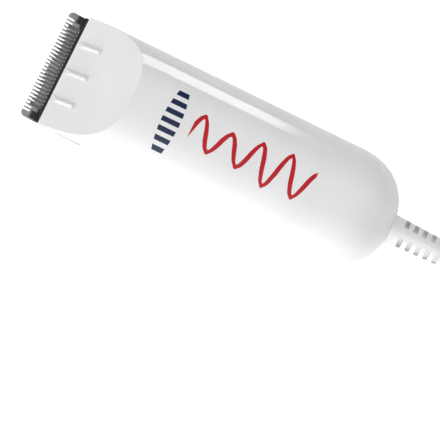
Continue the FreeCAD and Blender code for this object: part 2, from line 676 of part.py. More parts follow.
def board_parts():
    """The circuit board with four diodes, a capacitor and a choke on it."""
    top = BOARD_BOTTOM + BOARD_THICKNESS
    rear = BOARD_FRONT + BOARD_LENGTH
    board = box(BOARD_FRONT, rear, -BOARD_HALF_WIDTH, BOARD_HALF_WIDTH, BOARD_BOTTOM, top)
    diodes = []
    across = Vector(0, 1, 0)
    axis_z = top + DIODE_R
    for i in range(4):
        x = BOARD_FRONT + 2 * DIODE_R + DIODE_PITCH * i
        place = Vector(NOSE_X + x, 0, axis_z)
        body = Part.makeCylinder(DIODE_R, DIODE_LENGTH, place - across * (DIODE_LENGTH / 2), across)
        lead = Part.makeCylinder(DIODE_LEAD_R, 2 * DIODE_REACH, place - across * DIODE_REACH, across)
        half = DIODE_FOOT / 2
        foot = box(x - half, x + half, DIODE_REACH - DIODE_LEAD_R, DIODE_REACH + DIODE_LEAD_R,
                   top, axis_z + 2 * DIODE_LEAD_R)
        diodes.append(joined([body, lead, both_sides(foot)]))
    start = BOARD_FRONT + COIL_INSET
    end = start + COIL_LENGTH
    capacitor = rod(CAPACITOR_R, start, end, y=COIL_Y, z=top + CAPACITOR_R)
    axis_z = top + CHOKE_FLANGE_R
    choke = rod(CHOKE_FLANGE_R - CHOKE_WINDING_DEPTH, start, end, y=-COIL_Y, z=axis_z)
    for x in (start, end - CHOKE_FLANGE):
        choke = choke.fuse(rod(CHOKE_FLANGE_R, x, x + CHOKE_FLANGE, y=-COIL_Y, z=axis_z))
    return {
        "circuit_board": board,
        "rectifier_diodes": Part.Compound(diodes),
        "smoothing_capacitor": capacitor,
        "choke_coil": choke.removeSplitter(),
    }


def slide_switch():
    """The slide switch under the board: its body, its stem and the ribbed button on the underside."""
    start = SWITCH_CENTRE - SWITCH_LENGTH / 2
    end = start + SWITCH_LENGTH
    body_bottom = BOARD_BOTTOM - SWITCH_HEIGHT
    body = box(start, end, -SWITCH_HALF_WIDTH, SWITCH_HALF_WIDTH, body_bottom, BOARD_BOTTOM)
    stem_x = SWITCH_CENTRE - SWITCH_TRAVEL / 2
    reach = (STEM_LENGTH + SWITCH_TRAVEL) / 2 + PLAY
    slot_half = STEM_HALF_WIDTH + SWITCH_CLEARANCE
    slot_top = body_bottom + STEM_ENTRY + 0.5
    body = body.cut(box(SWITCH_CENTRE - reach, SWITCH_CENTRE + reach, -slot_half, slot_half, 0, slot_top))
    plate_bottom = WALL + PLAY
    plate_top = plate_bottom + BUTTON_PLATE
    stem_start = stem_x - STEM_LENGTH / 2
    stem_end = stem_start + STEM_LENGTH
    stem = box(stem_start, stem_end, -STEM_HALF_WIDTH, STEM_HALF_WIDTH, plate_top, body_bottom + STEM_ENTRY)
    half = BUTTON_LENGTH / 2
    width = BUTTON_HALF_WIDTH
    long = half + BUTTON_PLATE_MARGIN
    wide = width + BUTTON_PLATE_MARGIN
    plate = box(stem_x - long, stem_x + long, -wide, wide, plate_bottom, plate_top)
    thumb = box(stem_x - half, stem_x + half, -width, width, BUTTON_FLOOR_GAP, plate_bottom)
    for i in (-1, 0, 1):
        x = stem_x + i * BUTTON_RIB_PITCH - BUTTON_RIB_PITCH / 4
        notch = box(x, x + BUTTON_RIB_PITCH / 2, -FAR, FAR, -1, BUTTON_FLOOR_GAP + BUTTON_RIB_DEPTH)
        thumb = thumb.cut(notch)
    return {
        "switch_body": body,
        "switch_stem": stem,
        "switch_button": joined([plate, thumb]),
    }


def cord_boot(form):
    """The strain relief moulded round the cord, with four rows of windows between its ribs."""
    start = HOUSING_LENGTH - BOOT_SINK
    place = Vector(NOSE_X + start, 0, PARTING_Z)
    cone = Part.makeCone(BOOT_BASE_R, BOOT_TIP_R, BOOT_END - start, place, Vector(1, 0, 0))
    cone = cone.cut(form)
    windows = []
    for i in range(BOOT_WINDOW_ROWS):
        x = HOUSING_LENGTH + BOOT_FIRST_WINDOW + i * BOOT_WINDOW_PITCH
        low = PARTING_Z - BOOT_WINDOW_HALF
        high = PARTING_Z + BOOT_WINDOW_HALF
        window = box(x, x + BOOT_WINDOW_LENGTH, BOOT_CORE, FAR, low, high)
        for angle in (45, 135, 225, 315):
            turned = window.copy()
            turned.rotate(Vector(0, 0, PARTING_Z), Vector(1, 0, 0), angle)
            windows.append(turned)
    cone = cone.cut(Part.Compound(windows))
    neck_start = HOUSING_LENGTH - BOOT_NECK_LENGTH
    neck = rod(BOOT_NECK_R, neck_start, HOUSING_LENGTH + 1.0)
    flange = rod(BOOT_NECK_R + BOOT_FLANGE_RIM, neck_start, neck_start + BOOT_FLANGE_LENGTH)
    return joined([cone, neck, flange])


def wiring():
    """The cord grip inside the housing and the insulated wires to the board and the motor."""
    rear = HOUSING_LENGTH - BOOT_NECK_LENGTH
    front = rear - GRIP_LENGTH
    grip = box(front, rear, -GRIP_HALF, GRIP_HALF, PARTING_Z - GRIP_HALF, PARTING_Z + GRIP_TOP)
    mains_x = BOARD_FRONT + BOARD_LENGTH - 1.0
    mains_z = BOARD_BOTTOM - 3 * WIRE_R
    mains = both_sides(rod(WIRE_R, mains_x, front, y=MAINS_WIRE_Y, z=mains_z))
    mains_up = both_sides(post(WIRE_R, mains_x, MAINS_WIRE_Y, mains_z - WIRE_R, BOARD_BOTTOM))
    motor_start = MOTOR_REAR + END_CAP_LENGTH + TERMINAL_LENGTH
    lead_x = BOARD_FRONT + 1.6
    lead_y = TERMINAL_Y + TERMINAL_THICKNESS / 2
    leads = both_sides(rod(WIRE_R, motor_start, lead_x, y=lead_y, z=PARTING_Z))
    leads_up = both_sides(post(WIRE_R, lead_x, lead_y, PARTING_Z - WIRE_R, BOARD_BOTTOM))
    return grip, joined([mains, mains_up, leads, leads_up])


def cord_tube(points, radius):
    """A round tube along straight runs joined by tangent arcs; prints the arcs' radii."""
    edges = []
    radii = []
    start = points[0]
    for before, corner, after in zip(points, points[1:], points[2:]):
        back = before.sub(corner)
        on = after.sub(corner)
        shorter = min(back.Length, on.Length)
        turn = math.pi - back.getAngle(on)
        reach = 0.45 * shorter
        radii.append(reach / math.tan(turn / 2))
        back.normalize()
        on.normalize()
        first = corner.add(back * reach)
        last = corner.add(on * reach)
        bisector = back.add(on).normalize()
        centre = corner.add(bisector * math.hypot(radii[-1], reach))
        middle = centre.add(bisector * -radii[-1])
        edges.append(Part.LineSegment(start, first).toShape())
        edges.append(Part.Arc(first, middle, last).toShape())
        start = last
    edges.append(Part.LineSegment(start, points[-1]).toShape())
    path = Part.Wire(edges)
    direction = points[1].sub(points[0])
    circle = Part.Wire([Part.makeCircle(radius, points[0], direction)])
    tube = path.makePipeShell([circle], True, False)
    expected = math.pi * radius**2 * path.Length
    print("cord radii", [round(r, 1) for r in radii], "length", round(path.Length, 1),
          "volume share", round(tube.Volume / expected, 4))
    return tube


def lead_points():
    """The cord's route from the boot's tip down to the surface and into the hank."""
    x = NOSE_X + BOOT_END
    return [
        Vector(x, 0, PARTING_Z),
        Vector(x + 9.5, 0, PARTING_Z),
        Vector(x + 20.0, -2.0, PARTING_Z - 1.9),
        Vector(x + 30.5, -6.2, PARTING_Z - 5.9),
        Vector(x + 41.0, -11.8, CORD_R + 1.7),
        Vector(x + 51.0, -17.0, CORD_R),
        Vector(HANK_FRONT - 9.0, -HANK_TRACK_R, CORD_R),
    ]


def tail_points():
    """The cord's route from the top of the hank up to the plug that lies on it."""
    x = HANK_FRONT + HANK_RUN
    z = HANK_HEIGHT - CORD_R
    return [
        Vector(x, HANK_TRACK_R, z),
        Vector(x - 8.6, HANK_TRACK_R, z),
        Vector(x - 17.0, HANK_TRACK_R - 1.4, z + 2.0),
        Vector(x - 24.4, PLUG_Y + 1.4, PLUG_Z - 2.0),
        Vector(x - 33.0, PLUG_Y, PLUG_Z),
        Vector(PLUG_REAR_X, PLUG_Y, PLUG_Z),
    ]


def stadium(radius, height, z):
    """A solid with straight sides of the hank's run and round ends."""
    ends = []
    for x in (HANK_FRONT, HANK_FRONT + HANK_RUN):
        ends.append(Part.makeCylinder(radius, height, Vector(x, 0, z)))
    middle = Part.makeBox(HANK_RUN, 2 * radius, height, Vector(HANK_FRONT, -radius, z))
    return joined([middle] + ends)


def cord_hank():
    """The outer shape of the spare cord, folded into a flat oval hank."""
    return stadium(HANK_OUTER_R, HANK_HEIGHT, 0).cut(stadium(HANK_INNER_R, HANK_HEIGHT + 2, -1))


def cord_tie():
    """A flat strap round the middle of the hank."""
    x = PLUG_REAR_X + TIE_FROM_PLUG
    half = HANK_OUTER_R - TIE_SQUEEZE
    grow = TIE_THICKNESS
    low = TIE_SQUEEZE
    high = HANK_HEIGHT - TIE_SQUEEZE
    band = Part.makeBox(TIE_WIDTH, 2 * (half + grow), high - low + grow + low, Vector(x, -half - grow, 0))
    return band.cut(Part.makeBox(TIE_WIDTH + 2, 2 * half, high - low, Vector(x - 1, -half, low)))


def plug():
    """A flat two-blade mains plug that lies on the hank, with its blades towards the clipper."""
    front_x = PLUG_REAR_X - PLUG_LENGTH
    shoulder_x = PLUG_REAR_X - PLUG_SHOULDER
    bottom = PLUG_Z - PLUG_HALF_HEIGHT
    half_outline = [
        (PLUG_REAR_X, PLUG_REAR_HALF_WIDTH),
        (shoulder_x, PLUG_HALF_WIDTH),
        (front_x, PLUG_HALF_WIDTH),
    ]
    corners = [Vector(x, PLUG_Y + y, bottom) for x, y in half_outline]
    corners += [Vector(x, PLUG_Y - y, bottom) for x, y in reversed(half_outline)]
    body = Part.Face(Part.makePolygon(corners + corners[:1])).extrude(Vector(0, 0, 2 * PLUG_HALF_HEIGHT))
    body = body.makeFillet(PLUG_ROUNDING, body.Edges)
    blades = []
    for side in (-1, 1):
        y = PLUG_Y + side * PLUG_BLADE_SPACING / 2 - PLUG_BLADE_THICKNESS / 2
        corner = Vector(front_x - PLUG_BLADE_LENGTH, y, PLUG_Z - PLUG_BLADE_HALF_HEIGHT)
        length = PLUG_BLADE_LENGTH + PLUG_BLADE_ROOT
        blades.append(Part.makeBox(length, PLUG_BLADE_THICKNESS, 2 * PLUG_BLADE_HALF_HEIGHT, corner))
    blades = Part.Compound(blades)
    return body.cut(blades), blades


def main():
    upper, lower, form = housing()
    grip, wires = wiring()
    plug_body, plug_blades = plug()
    screws = screw_shapes(SCREW_R, SCREW_HEAD_R, SCREW_HEAD_DEPTH, SCREW_HEAD_DEPTH + SCREW_LENGTH)
    parts = {
        "upper_housing": upper,
        "lower_housing": lower,
        "housing_screws": Part.Compound(screws),
        "fixed_blade": fixed_blade(),
        "moving_blade": moving_blade(),
        "blade_guide": blade_guide(form),
        "blade_screws": tilted(Part.Compound(blade_screw_shapes())),
        "tension_spring": tension_spring(),
        "drive_fork": drive_fork(),
        "eccentric_cam": eccentric_cam(),
        "cord_boot": cord_boot(form),
        "cord_grip": grip,
        "lead_wires": wires,
        "cord_lead": cord_tube(lead_points(), CORD_R),
        "cord_hank": cord_hank(),
        "cord_tie": cord_tie(),
        "cord_tail": cord_tube(tail_points(), CORD_R),
        "plug_body": plug_body,
        "plug_blades": plug_blades,
    }
    parts.update(motor_case())
    parts.update(armature())
    parts.update(board_parts())
    parts.update(slide_switch())
    os.makedirs("parts", exist_ok=True)
    for name, shape in parts.items():
        shape.exportStep(f"parts/{name}.step")
        print(name, shape.isValid(), len(shape.Solids), round(shape.Volume, 2))


main()
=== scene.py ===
import math

import bpy
import numpy as np
from mathutils import Matrix, Vector


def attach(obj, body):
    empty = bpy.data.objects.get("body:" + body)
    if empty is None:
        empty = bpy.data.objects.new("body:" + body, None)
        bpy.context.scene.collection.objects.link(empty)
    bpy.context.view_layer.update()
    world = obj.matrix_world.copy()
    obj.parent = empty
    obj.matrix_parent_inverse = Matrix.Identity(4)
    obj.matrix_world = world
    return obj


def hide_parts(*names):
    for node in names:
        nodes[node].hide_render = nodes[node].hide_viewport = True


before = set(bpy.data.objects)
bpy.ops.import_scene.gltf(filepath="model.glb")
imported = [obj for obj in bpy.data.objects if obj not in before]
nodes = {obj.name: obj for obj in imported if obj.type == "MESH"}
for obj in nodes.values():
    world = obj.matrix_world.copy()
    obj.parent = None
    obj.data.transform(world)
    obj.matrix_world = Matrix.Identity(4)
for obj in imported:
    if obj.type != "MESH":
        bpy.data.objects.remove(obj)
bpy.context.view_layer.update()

# ---------------------------------------------------------------- the camera
# A long lens hangs over the bench and leans a few degrees to the clipper's right side.
# The clipper crosses the frame from its top left, and only its strain relief runs out on the right.
LEAN = math.radians(6)
PICTURE_WIDTH = 0.1294
LENS = 200.0
SENSOR = 36.0
AIM = Vector((0.0104, -0.0197, 0.0142))

lens = bpy.data.cameras.new("bench_camera")
lens.lens = LENS
lens.sensor_width = SENSOR
camera = bpy.data.objects.new("bench_camera", lens)
bpy.context.scene.collection.objects.link(camera)
back = Vector((0, -math.sin(LEAN), math.cos(LEAN)))
across = Vector((0.898, 0.44, 0))
right = (across - across.dot(back) * back).normalized()
camera.matrix_world = Matrix.Translation(AIM + back * PICTURE_WIDTH * LENS / SENSOR) @ Matrix(
    (right, back.cross(right), back)).transposed().to_4x4()
bpy.context.scene.camera = camera

# ---------------------------------------------------------------- the mains cord
# A round 5 mm cord in soft white PVC, 1.8 m long from the strain relief to the plug.
# It falls to the bench, is folded into a hank behind the clipper, and its end climbs onto the hank.
CORD_RADIUS = 0.0025
LEAD = [(84.616, 0, 14.2), (94.116, 0, 14.2), (104.616, -2.0, 12.3), (115.116, -6.2, 8.3),
        (125.616, -11.8, 4.2), (135.616, -17.0, 2.5), (145.0, -20.0, 2.5)]
TAIL = [(211.0, 20.0, 17.5), (202.4, 20.0, 17.5), (194.0, 18.6, 19.5), (186.6, 15.9, 23.5),
        (178.0, 14.5, 25.5), (169.4, 14.5, 25.5)]
FOLD_FRONT = 154.0
FOLD_REAR = 211.0
THIRD = (FOLD_REAR - FOLD_FRONT) / 3
FOLD_POINTS = 13
LAYERS = [(20, 2.5), (15, 2.5), (15, 7.5), (20, 7.5), (20, 12.5), (15, 12.5), (15, 17.5), (20, 17.5)]


def hank_route():
    """The hank's route in millimetres. Turn k runs to the rear at y = -R, folds round (FOLD_REAR, 0),
    comes back at y = +R and folds round (FOLD_FRONT, 0). R and z ease from one layer to the next over
    the turn as a + (b - a) * s * s * (3 - 2 * s), s being the share of the turn after its first fold."""
    route = []
    last = len(LAYERS) - 1
    fold = np.radians(np.linspace(-90, 90, FOLD_POINTS))
    for k, (reach, level) in enumerate(LAYERS):
        route.append((FOLD_FRONT + THIRD, -reach, level))
        route.append((FOLD_FRONT + 2 * THIRD, -reach, level))
        flat = np.full(FOLD_POINTS, level)
        rear = np.stack([FOLD_REAR + reach * np.cos(fold), reach * np.sin(fold), flat], 1)
        if k == last:
            route.extend(rear[1:-1])
            break
        route.extend(rear[1:])
        wide, high = LAYERS[k + 1]
        share = np.linspace(0.12, 1, FOLD_POINTS + 2)
        ease = share * share * (3 - 2 * share)
        radius = reach + (wide - reach) * ease
        height = level + (high - level) * ease
        route.append((FOLD_FRONT + 2 * THIRD, radius[0], height[0]))
        route.append((FOLD_FRONT + THIRD, radius[1], height[1]))
        front = [FOLD_FRONT - radius[2:] * np.cos(fold), -radius[2:] * np.sin(fold), height[2:]]
        route.extend(np.stack(front, 1))
    return route


line = bpy.data.curves.new("mains_cord", "CURVE")
line.dimensions = "3D"
line.bevel_depth = 1.0
line.bevel_resolution = 6
line.resolution_u = 8
spline = line.splines.new("NURBS")
points = np.array(LEAD + hank_route() + TAIL) / 1000
spline.points.add(len(points) - 1)
spline.points.foreach_set("co", np.hstack([points, np.ones((len(points), 1))]).ravel())
spline.points.foreach_set("radius", np.full(len(points), CORD_RADIUS))
spline.order_u = 3
spline.use_endpoint_u = True
cord = bpy.data.objects.new("mains_cord", line)
bpy.context.scene.collection.objects.link(cord)
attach(cord, "clipper")
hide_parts("cord_lead", "cord_hank", "cord_tail")

# ---------------------------------------------------------------- the housing shells
# Two shells injection moulded in white ABS and screwed together: a polished barrel, a fine matt spark
# finish on the sloping thumb rest, and two tampo-printed marks, a navy row of bars and a red wave.
FACET_SLOPE = math.radians(33)
FACET_START = (-0.050484, 0.0143)
PRINT_FLOOR = 0.020
PARTING = 0.0142
SEAM_FRONT = -0.042
NAVY = (0.002, 0.013, 0.055, 1)
RED = (0.46, 0.002, 0.007, 1)
INK_EDGE = 0.0001
BARS_AT = (-0.0149, -0.0018)
BAR_COUNT = 7
BAR_PITCH = 0.0029
BAR_GAP = 0.00134
BAR_HALF_LENGTH = 0.0029
BAR_ARCH = 14.0
WAVE_AT = (0.0107, -0.0011)
WAVE_PERIOD = 0.0092
WAVE_SWING = 0.0049
WAVE_SWELL = 0.0011
WAVE_HALF_LENGTH = 0.0194
STROKE_HALF = 0.0007
STROKE_EDGE = 0.00008


def put(tree, kind, **settings):
    """Adds a node to a tree. A setting in_X fills or links the input X, and any other sets a property."""
    made = tree.nodes.new("ShaderNode" + kind)
    for key, value in settings.items():
        if not key.startswith("in_"):
            setattr(made, key, value)
    for key, value in settings.items():
        if key.startswith("in_"):
            name = key[3:]
            socket = made.inputs[int(name)] if name.isdigit() else made.inputs[name.replace("_", " ")]
            if isinstance(value, bpy.types.NodeSocket):
                tree.links.new(value, socket)
            else:
                socket.default_value = value
    return made


def sums(tree, operation, a, b=0.0, c=0.0, clamp=False):
    """The output of a Math node over a, b and c."""
    return put(tree, "Math", operation=operation, use_clamp=clamp, in_0=a, in_1=b, in_2=c).outputs[0]


def ramp(tree, value, start, end):
    """A mask that eases from 0 at start to 1 at end."""
    return put(tree, "MapRange", interpolation_type="SMOOTHSTEP", in_Value=value,
               in_From_Min=start, in_From_Max=end).outputs[0]


def blended(tree, mask, first, second):
    """One colour where the mask is 0 and the other where it is 1."""
    return put(tree, "MixRGB", in_Fac=mask, in_Color1=first, in_Color2=second).outputs[0]


def tip(tree, height, strength, distance):
    """How far a bump of this height tips the surface's own normal."""
    bump = put(tree, "Bump", in_Height=height, in_Strength=strength, in_Distance=distance).outputs[0]
    own = put(tree, "NewGeometry").outputs["Normal"]
    return put(tree, "VectorMath", operation="SUBTRACT", in_0=bump, in_1=own).outputs[0]


def group(name, inputs):
    """A shader node group with float inputs {name: default} and three outputs: Mask, Fine and Normal."""
    tree = bpy.data.node_groups.new(name, "ShaderNodeTree")
    for key, value in inputs.items():
        socket = tree.interface.new_socket(name=key, in_out="INPUT", socket_type="NodeSocketFloat")
        socket.default_value = value
    for key, kind in (("Mask", "Float"), ("Fine", "Float"), ("Normal", "Vector")):
        tree.interface.new_socket(name=key, in_out="OUTPUT", socket_type="NodeSocket" + kind)
    return tree, tree.nodes.new("NodeGroupInput"), tree.nodes.new("NodeGroupOutput")


def moulded_group():
    """Moulded plastic in object metres. Mask is a slow cloud, the plastic's uneven tone; Fine is a field of
    hair scratches and dust, a noise stretched along X; Normal is how far the texture's bump, of the given
    depth, tips the surface's own normal."""
    tree, given, out = group("moulded_surface", {"Cloud Size": 60.0, "Grain Size": 2500.0, "Depth": 0.1})
    place = put(tree, "TexCoord").outputs["Object"]
    cloud = put(tree, "TexNoise", in_Vector=place, in_Scale=given.outputs["Cloud Size"], in_Detail=3.0)
    squeezed = put(tree, "Mapping", in_Vector=place, in_Scale=(60.0, 900.0, 500.0)).outputs[0]
    scratch = put(tree, "TexNoise", in_Vector=squeezed, in_Scale=1.0, in_Detail=4.0, in_Roughness=0.7)
    grain = put(tree, "TexNoise", in_Vector=place, in_Scale=given.outputs["Grain Size"], in_Detail=2.0)
    tilt = tip(tree, grain.outputs["Fac"], given.outputs["Depth"], 0.0001)
    tree.links.new(ramp(tree, cloud.outputs["Fac"], 0.3, 0.7), out.inputs["Mask"])
    tree.links.new(ramp(tree, scratch.outputs["Fac"], 0.52, 0.72), out.inputs["Fine"])
    tree.links.new(tilt, out.inputs["Normal"])
    return tree


moulded_surface = moulded_group()


def plastic_nodes(name, light, dark, glossy, dull, depth=0.05, grain=2500.0, edge=0.0002):
    """A moulded plastic and its nodes: its colour drifts from light to dark with the cloud, and its
    roughness from glossy to dull with the scratches. Corners read as rounded by `edge` metres."""
    material = bpy.data.materials.new(name)
    material.use_nodes = True
    tree = material.node_tree
    surface = tree.nodes["Principled BSDF"]
    skin = put(tree, "Group", node_tree=moulded_surface, in_Grain_Size=grain, in_Depth=depth)
    tree.links.new(blended(tree, skin.outputs["Mask"], light, dark), surface.inputs["Base Color"])
    rough = put(tree, "MapRange", in_Value=skin.outputs["Fine"], in_To_Min=glossy, in_To_Max=dull).outputs[0]
    tree.links.new(rough, surface.inputs["Roughness"])
    soft = put(tree, "Bevel", samples=4, in_Radius=edge).outputs[0]
    bump = put(tree, "Bump", in_Height=skin.outputs["Fine"], in_Strength=0.12, in_Distance=0.00001,
               in_Normal=soft)
    normal = put(tree, "VectorMath", operation="ADD", in_0=bump.outputs[0], in_1=skin.outputs["Normal"])
    tree.links.new(normal.outputs[0], surface.inputs["Normal"])
    return material, tree, surface, rough


def plastic(*finish, **texture):
    """A moulded plastic with nothing printed on it."""
    return plastic_nodes(*finish, **texture)[0]


def dress(material, *names):
    """Gives CAD nodes their finish, in each of their material slots."""
    for name in names:
        for held in nodes[name].material_slots:
            held.material = material


def bars_mask(tree, x, y):
    """The navy mark: a row of bars side by side along Y, their half length falling from the row's middle
    as BAR_HALF_LENGTH - BAR_ARCH * y ** 2."""
    half_row = BAR_COUNT * BAR_PITCH / 2
    across_y = sums(tree, "SUBTRACT", y, BARS_AT[1])
    cell = sums(tree, "PINGPONG", sums(tree, "ADD", across_y, half_row), BAR_PITCH / 2)
    bar = ramp(tree, cell, (BAR_GAP - INK_EDGE) / 2, (BAR_GAP + INK_EDGE) / 2)
    square = sums(tree, "MULTIPLY", across_y, across_y)
    arch = sums(tree, "MULTIPLY_ADD", square, -BAR_ARCH, BAR_HALF_LENGTH)
    away = sums(tree, "ABSOLUTE", sums(tree, "SUBTRACT", x, BARS_AT[0]))
    tall = ramp(tree, sums(tree, "SUBTRACT", arch, away), 0.0, INK_EDGE)
    off = sums(tree, "ABSOLUTE", across_y)
    inside = ramp(tree, off, half_row + INK_EDGE / 2, half_row - INK_EDGE / 2)
    return sums(tree, "MULTIPLY", sums(tree, "MULTIPLY", bar, tall), inside)


def wave_mask(tree, x, y):
    """The red mark: a brush stroke about the curve y = a * sin(k * x), its swing a growing and shrinking
    along it. The gap in Y is divided by sqrt(1 + slope ** 2), so that the stroke stays even; the slope is
    the smaller of the one here and the one where the curve has this height, for round crests."""
    k = 2 * math.pi / WAVE_PERIOD
    along = sums(tree, "SUBTRACT", x, WAVE_AT[0])
    height = sums(tree, "SUBTRACT", y, WAVE_AT[1])
    phase = sums(tree, "MULTIPLY_ADD", along, k, 0.6)
    swell = sums(tree, "SINE", sums(tree, "MULTIPLY", along, 190.0))
    swing = sums(tree, "MULTIPLY_ADD", swell, WAVE_SWELL, WAVE_SWING)
    curve = sums(tree, "MULTIPLY", sums(tree, "SINE", phase), swing)
    slope = sums(tree, "MULTIPLY", sums(tree, "MULTIPLY", sums(tree, "COSINE", phase), swing), k)
    here = sums(tree, "SQRT", sums(tree, "MULTIPLY_ADD", slope, slope, 1.0))
    swing_square = sums(tree, "MULTIPLY", swing, swing)
    room = sums(tree, "SUBTRACT", swing_square, sums(tree, "MULTIPLY", height, height))
    room = sums(tree, "MAXIMUM", room, 0.0)
    level = sums(tree, "SQRT", sums(tree, "MULTIPLY_ADD", room, k * k, 1.0))
    gap = sums(tree, "ABSOLUTE", sums(tree, "SUBTRACT", height, curve))
    distance = sums(tree, "DIVIDE", gap, sums(tree, "MINIMUM", here, level))
    stroke = ramp(tree, distance, STROKE_HALF + STROKE_EDGE, STROKE_HALF)
    inside = ramp(tree, sums(tree, "ABSOLUTE", along), WAVE_HALF_LENGTH, WAVE_HALF_LENGTH - INK_EDGE)
    return sums(tree, "MULTIPLY", stroke, inside)


def shell_finish():
    """The white shell's finish. The matt thumb rest is where a point lies on the facet's plane, and the
    printed marks show only high on the outside."""
    white, pale = (0.78, 0.78, 0.785, 1), (0.745, 0.745, 0.75, 1)
    finish = plastic_nodes("white_abs", white, pale, 0.1, 0.17, depth=0.02, grain=900.0)
    material, tree, surface, rough = finish
    point = put(tree, "TexCoord").outputs["Object"]
    place = put(tree, "SeparateXYZ", in_0=point).outputs
    rise = math.tan(FACET_SLOPE)
    facet_height = sums(tree, "MULTIPLY_ADD", place[0], rise, FACET_START[1] - FACET_START[0] * rise)
    below = sums(tree, "SUBTRACT", facet_height, place[2])
    facet = ramp(tree, below, 0.0003, 0.0001)
    outside = ramp(tree, place[2], PRINT_FLOOR, PRINT_FLOOR + INK_EDGE)
    navy = sums(tree, "MULTIPLY", bars_mask(tree, place[0], place[1]), outside)
    red = sums(tree, "MULTIPLY", wave_mask(tree, place[0], place[1]), outside)
    from_seam = sums(tree, "ABSOLUTE", sums(tree, "SUBTRACT", place[2], PARTING))
    seam = ramp(tree, from_seam, 0.0001, 0.00004)
    behind = ramp(tree, place[0], SEAM_FRONT, SEAM_FRONT + 0.006)
    plain = surface.inputs["Base Color"].links[0].from_socket
    plain = blended(tree, sums(tree, "MULTIPLY", seam, behind), plain, (0.4, 0.4, 0.4, 1))
    barred = blended(tree, navy, plain, NAVY)
    tree.links.new(blended(tree, red, barred, RED), surface.inputs["Base Color"])
    matt = put(tree, "MapRange", in_Value=facet, in_To_Min=0.0, in_To_Max=0.5).outputs[0]
    ink = sums(tree, "ADD", navy, red)
    duller = sums(tree, "MULTIPLY_ADD", ink, 0.12, sums(tree, "ADD", rough, matt), clamp=True)
    tree.links.new(duller, surface.inputs["Roughness"])
    spark = put(tree, "TexNoise", in_Vector=point, in_Scale=6000.0, in_Detail=2.0)
    lift = sums(tree, "MULTIPLY", spark.outputs["Fac"], facet)
    relief = sums(tree, "MULTIPLY_ADD", ink, 0.6, lift)
    bump = put(tree, "Bump", in_Height=relief, in_Strength=0.25, in_Distance=0.00003,
               in_Normal=surface.inputs["Normal"].links[0].from_socket)
    tree.links.new(bump.outputs[0], surface.inputs["Normal"])
    return material


white_abs = shell_finish()
dress(white_abs, "upper_housing", "lower_housing")

# ---------------------------------------------------------------- the blade set
# Two ground steel combs, the still one bevelled on the skin side and the cutter sliding on it, held in a
# black moulded guide by a leaf spring, and two zinc-plated screws through the still blade.


def brushed_group():
    """Ground or drawn metal. Lines is a noise in object metres squeezed by the three given scales, so that its
    grains run along the axis with the smallest; Mask is a slow stain; Normal is the lines' own tilt."""
    inputs = {"Scale X": 400.0, "Scale Y": 60.0, "Scale Z": 400.0, "Depth": 0.15}
    tree, given, out = group("brushed_metal", inputs)
    place = put(tree, "TexCoord").outputs["Object"]
    scale = put(tree, "CombineXYZ", in_0=given.outputs["Scale X"], in_1=given.outputs["Scale Y"],
                in_2=given.outputs["Scale Z"]).outputs[0]
    squeezed = put(tree, "VectorMath", operation="MULTIPLY", in_0=place, in_1=scale).outputs[0]
    lines = put(tree, "TexNoise", in_Vector=squeezed, in_Scale=1.0, in_Detail=5.0, in_Roughness=0.75)
    stain = put(tree, "TexNoise", in_Vector=place, in_Scale=180.0, in_Detail=3.0)
    tilt = tip(tree, lines.outputs["Fac"], given.outputs["Depth"], 0.00002)
    tree.links.new(ramp(tree, stain.outputs["Fac"], 0.35, 0.65), out.inputs["Mask"])
    tree.links.new(ramp(tree, lines.outputs["Fac"], 0.3, 0.7), out.inputs["Fine"])
    tree.links.new(tilt, out.inputs["Normal"])
    return tree


brushed_metal = brushed_group()


def metal(name, light, dark, glossy, dull, scale=(400.0, 60.0, 400.0), depth=0.15, edge=0.0001):
    """A bare or plated metal: its colour drifts with the stain and its roughness with the lines."""
    material = bpy.data.materials.new(name)
    material.use_nodes = True
    tree = material.node_tree
    surface = tree.nodes["Principled BSDF"]
    surface.inputs["Metallic"].default_value = 1.0
    skin = put(tree, "Group", node_tree=brushed_metal, in_Scale_X=scale[0], in_Scale_Y=scale[1],
               in_Scale_Z=scale[2], in_Depth=depth)
    half_stain = sums(tree, "MULTIPLY", skin.outputs["Mask"], 0.5)
    tone = sums(tree, "MULTIPLY_ADD", skin.outputs["Fine"], 0.5, half_stain)
    tree.links.new(blended(tree, tone, light, dark), surface.inputs["Base Color"])
    rough = put(tree, "MapRange", in_Value=skin.outputs["Fine"], in_To_Min=glossy, in_To_Max=dull).outputs[0]
    tree.links.new(rough, surface.inputs["Roughness"])
    soft = put(tree, "Bevel", samples=4, in_Radius=edge).outputs[0]
    normal = put(tree, "VectorMath", operation="ADD", in_0=soft, in_1=skin.outputs["Normal"]).outputs[0]
    tree.links.new(normal, surface.inputs["Normal"])
    return material


blade_steel = metal("ground_steel", (0.66, 0.66, 0.67, 1), (0.48, 0.48, 0.49, 1), 0.22, 0.38,
                    scale=(300.0, 4000.0, 300.0))
# The cutter is the same ground steel as the still blade, painted far darker: painted shade for the dimmer
# reflection its sloping top takes.
shaded_cutter_steel = metal("shaded_cutter_steel", (0.24, 0.24, 0.25, 1), (0.15, 0.15, 0.16, 1), 0.22, 0.36,
                     scale=(300.0, 4000.0, 300.0))
spring_steel = metal("spring_steel", (0.55, 0.55, 0.56, 1), (0.42, 0.42, 0.43, 1), 0.2, 0.32)
zinc = metal("zinc_plate", (0.62, 0.62, 0.60, 1), (0.50, 0.51, 0.50, 1), 0.25, 0.45,
             scale=(250.0, 250.0, 250.0))
black_moulding = plastic("black_moulding", (0.012, 0.012, 0.013, 1), (0.022, 0.022, 0.024, 1), 0.32, 0.5,
                         depth=0.12)
dress(blade_steel, "fixed_blade")
dress(shaded_cutter_steel, "moving_blade")
dress(black_moulding, "blade_guide", "eccentric_cam", "motor_end_cap", "cord_grip", "switch_body")
dress(spring_steel, "tension_spring", "motor_shaft")
dress(zinc, "blade_screws", "housing_screws", "motor_can", "armature_core", "motor_terminals")

